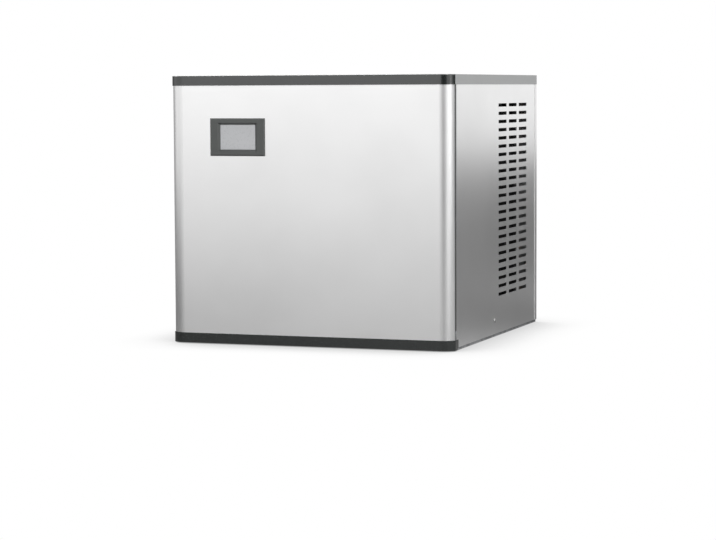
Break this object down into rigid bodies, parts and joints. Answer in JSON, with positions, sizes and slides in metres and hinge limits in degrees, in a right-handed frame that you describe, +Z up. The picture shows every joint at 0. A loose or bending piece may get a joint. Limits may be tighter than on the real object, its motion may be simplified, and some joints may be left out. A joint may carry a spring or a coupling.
{
  "type": "ice machine",
  "caption": "Modular ice machine head: satin sheet-metal cabinet with a pull-off front and display, slotted side, and the ice making and cooling parts inside.",
  "frame": {"origin": "middle of the footprint, on the surface that the base stands on", "axes": "+X to the right as seen from the front, +Y to the rear with the water fittings, +Z up"},
  "size_m": [0.56, 0.6036, 0.505],
  "materials": {
    "satin_steel": "satin stainless steel sheet",
    "cover_steel": "light grey painted sheet",
    "zinc_sheet": "zinc plated sheet",
    "dark_frame": "black painted sheet",
    "dark_trim": "dark grey moulded plastic",
    "bezel_plastic": "grey moulded plastic",
    "screen_glass": "clear display window, unlit",
    "circuit_board": "green circuit board",
    "foam_lining": "white skinned foam",
    "liner_plastic": "white moulded plastic",
    "soft_seal": "black rubber",
    "nickel_plate": "nickel plated copper",
    "copper_pipe": "drawn copper",
    "brass_fitting": "machined brass",
    "clear_plastic": "translucent moulded plastic",
    "black_plastic": "black moulded plastic",
    "white_plastic": "white moulded plastic",
    "hose_rubber": "soft grey hose",
    "black_enamel": "black enamel",
    "coated_fins": "black coated aluminium",
    "magnet_steel": "sintered magnet",
    "screw_steel": "bright steel"
  },
  "bodies": {
    "cabinet": {"front_frame": "dark_frame", "base_pan": "zinc_sheet", "right_side_panel": "satin_steel", "left_side_panel": "satin_steel", "rear_panel": "satin_steel", "top_cover": "cover_steel", "compartment_liner": "liner_plastic", "compartment_gasket": "soft_seal", "evaporator_plate": "nickel_plate", "evaporator_coil": "copper_pipe", "evaporator_rails": "white_plastic", "water_tube": "white_plastic", "reed_switch": "black_plastic", "water_trough": "white_plastic", "cube_guide": "white_plastic", "pump_bracket": "black_plastic", "pump_housing": "black_plastic", "pump_motor": "black_enamel", "water_hose": "hose_rubber", "float_stem": "white_plastic", "inlet_valve": "brass_fitting", "fill_hose": "hose_rubber", "dump_valve": "white_plastic", "drain_pipe": "white_plastic", "cable_gland": "black_plastic", "compressor": "black_enamel", "compressor_grommets": "soft_seal", "compressor_bolts": "screw_steel", "terminal_cover": "black_plastic", "suction_line": "copper_pipe", "discharge_line": "copper_pipe", "condenser": "coated_fins", "fan_shroud": "zinc_sheet", "fan_bracket": "dark_frame", "fan_motor": "black_enamel", "filter_drier": "copper_pipe", "expansion_valve": "brass_fitting", "liquid_line": "copper_pipe", "hot_gas_valve": "brass_fitting", "hot_gas_line": "copper_pipe", "control_box": "zinc_sheet", "control_cover": "zinc_sheet", "control_board": "circuit_board", "contactor": "black_plastic", "switch_housing": "black_plastic", "panel_screws": "screw_steel"},
    "front_cover": {"front_panel": "satin_steel", "front_top_trim": "dark_trim", "front_bottom_trim": "dark_trim", "display_bezel": "bezel_plastic", "display_screen": "screen_glass", "display_board": "circuit_board", "panel_lining": "foam_lining", "panel_studs": "white_plastic"},
    "curtain": {"ice_curtain": "clear_plastic", "curtain_magnet": "magnet_steel"},
    "fan": {"fan_blade": "black_plastic"},
    "pump_shaft": {"pump_rotor": "white_plastic"},
    "float": {"water_float": "white_plastic"},
    "rocker": {"switch_rocker": "black_plastic"}
  },
  "joints": [
    {"name": "front_pull", "type": "slide", "parent": "cabinet", "child": "front_cover", "axis": [0, -1, 0], "range_m": [0, 0.3]},
    {"name": "curtain_swing", "type": "hinge", "parent": "cabinet", "child": "curtain", "pos_m": [-0.0722, -0.10965, 0.4379], "axis": [-1, 0, 0], "range_deg": [0, 30]},
    {"name": "fan_spin", "type": "hinge", "parent": "cabinet", "child": "fan", "pos_m": [0.185, 0.1, 0.255], "axis": [1, 0, 0], "continuous": true},
    {"name": "pump_spin", "type": "hinge", "parent": "cabinet", "child": "pump_shaft", "pos_m": [0.118, -0.112, 0.0702], "axis": [0, 0, 1], "continuous": true},
    {"name": "float_lift", "type": "slide", "parent": "cabinet", "child": "float", "axis": [0, 0, 1], "range_m": [0, 0.012]},
    {"name": "switch_press", "type": "hinge", "parent": "cabinet", "child": "rocker", "pos_m": [0.2072, -0.26545, 0.41], "axis": [-1, 0, 0], "range_deg": [0, 16]}
  ]
}
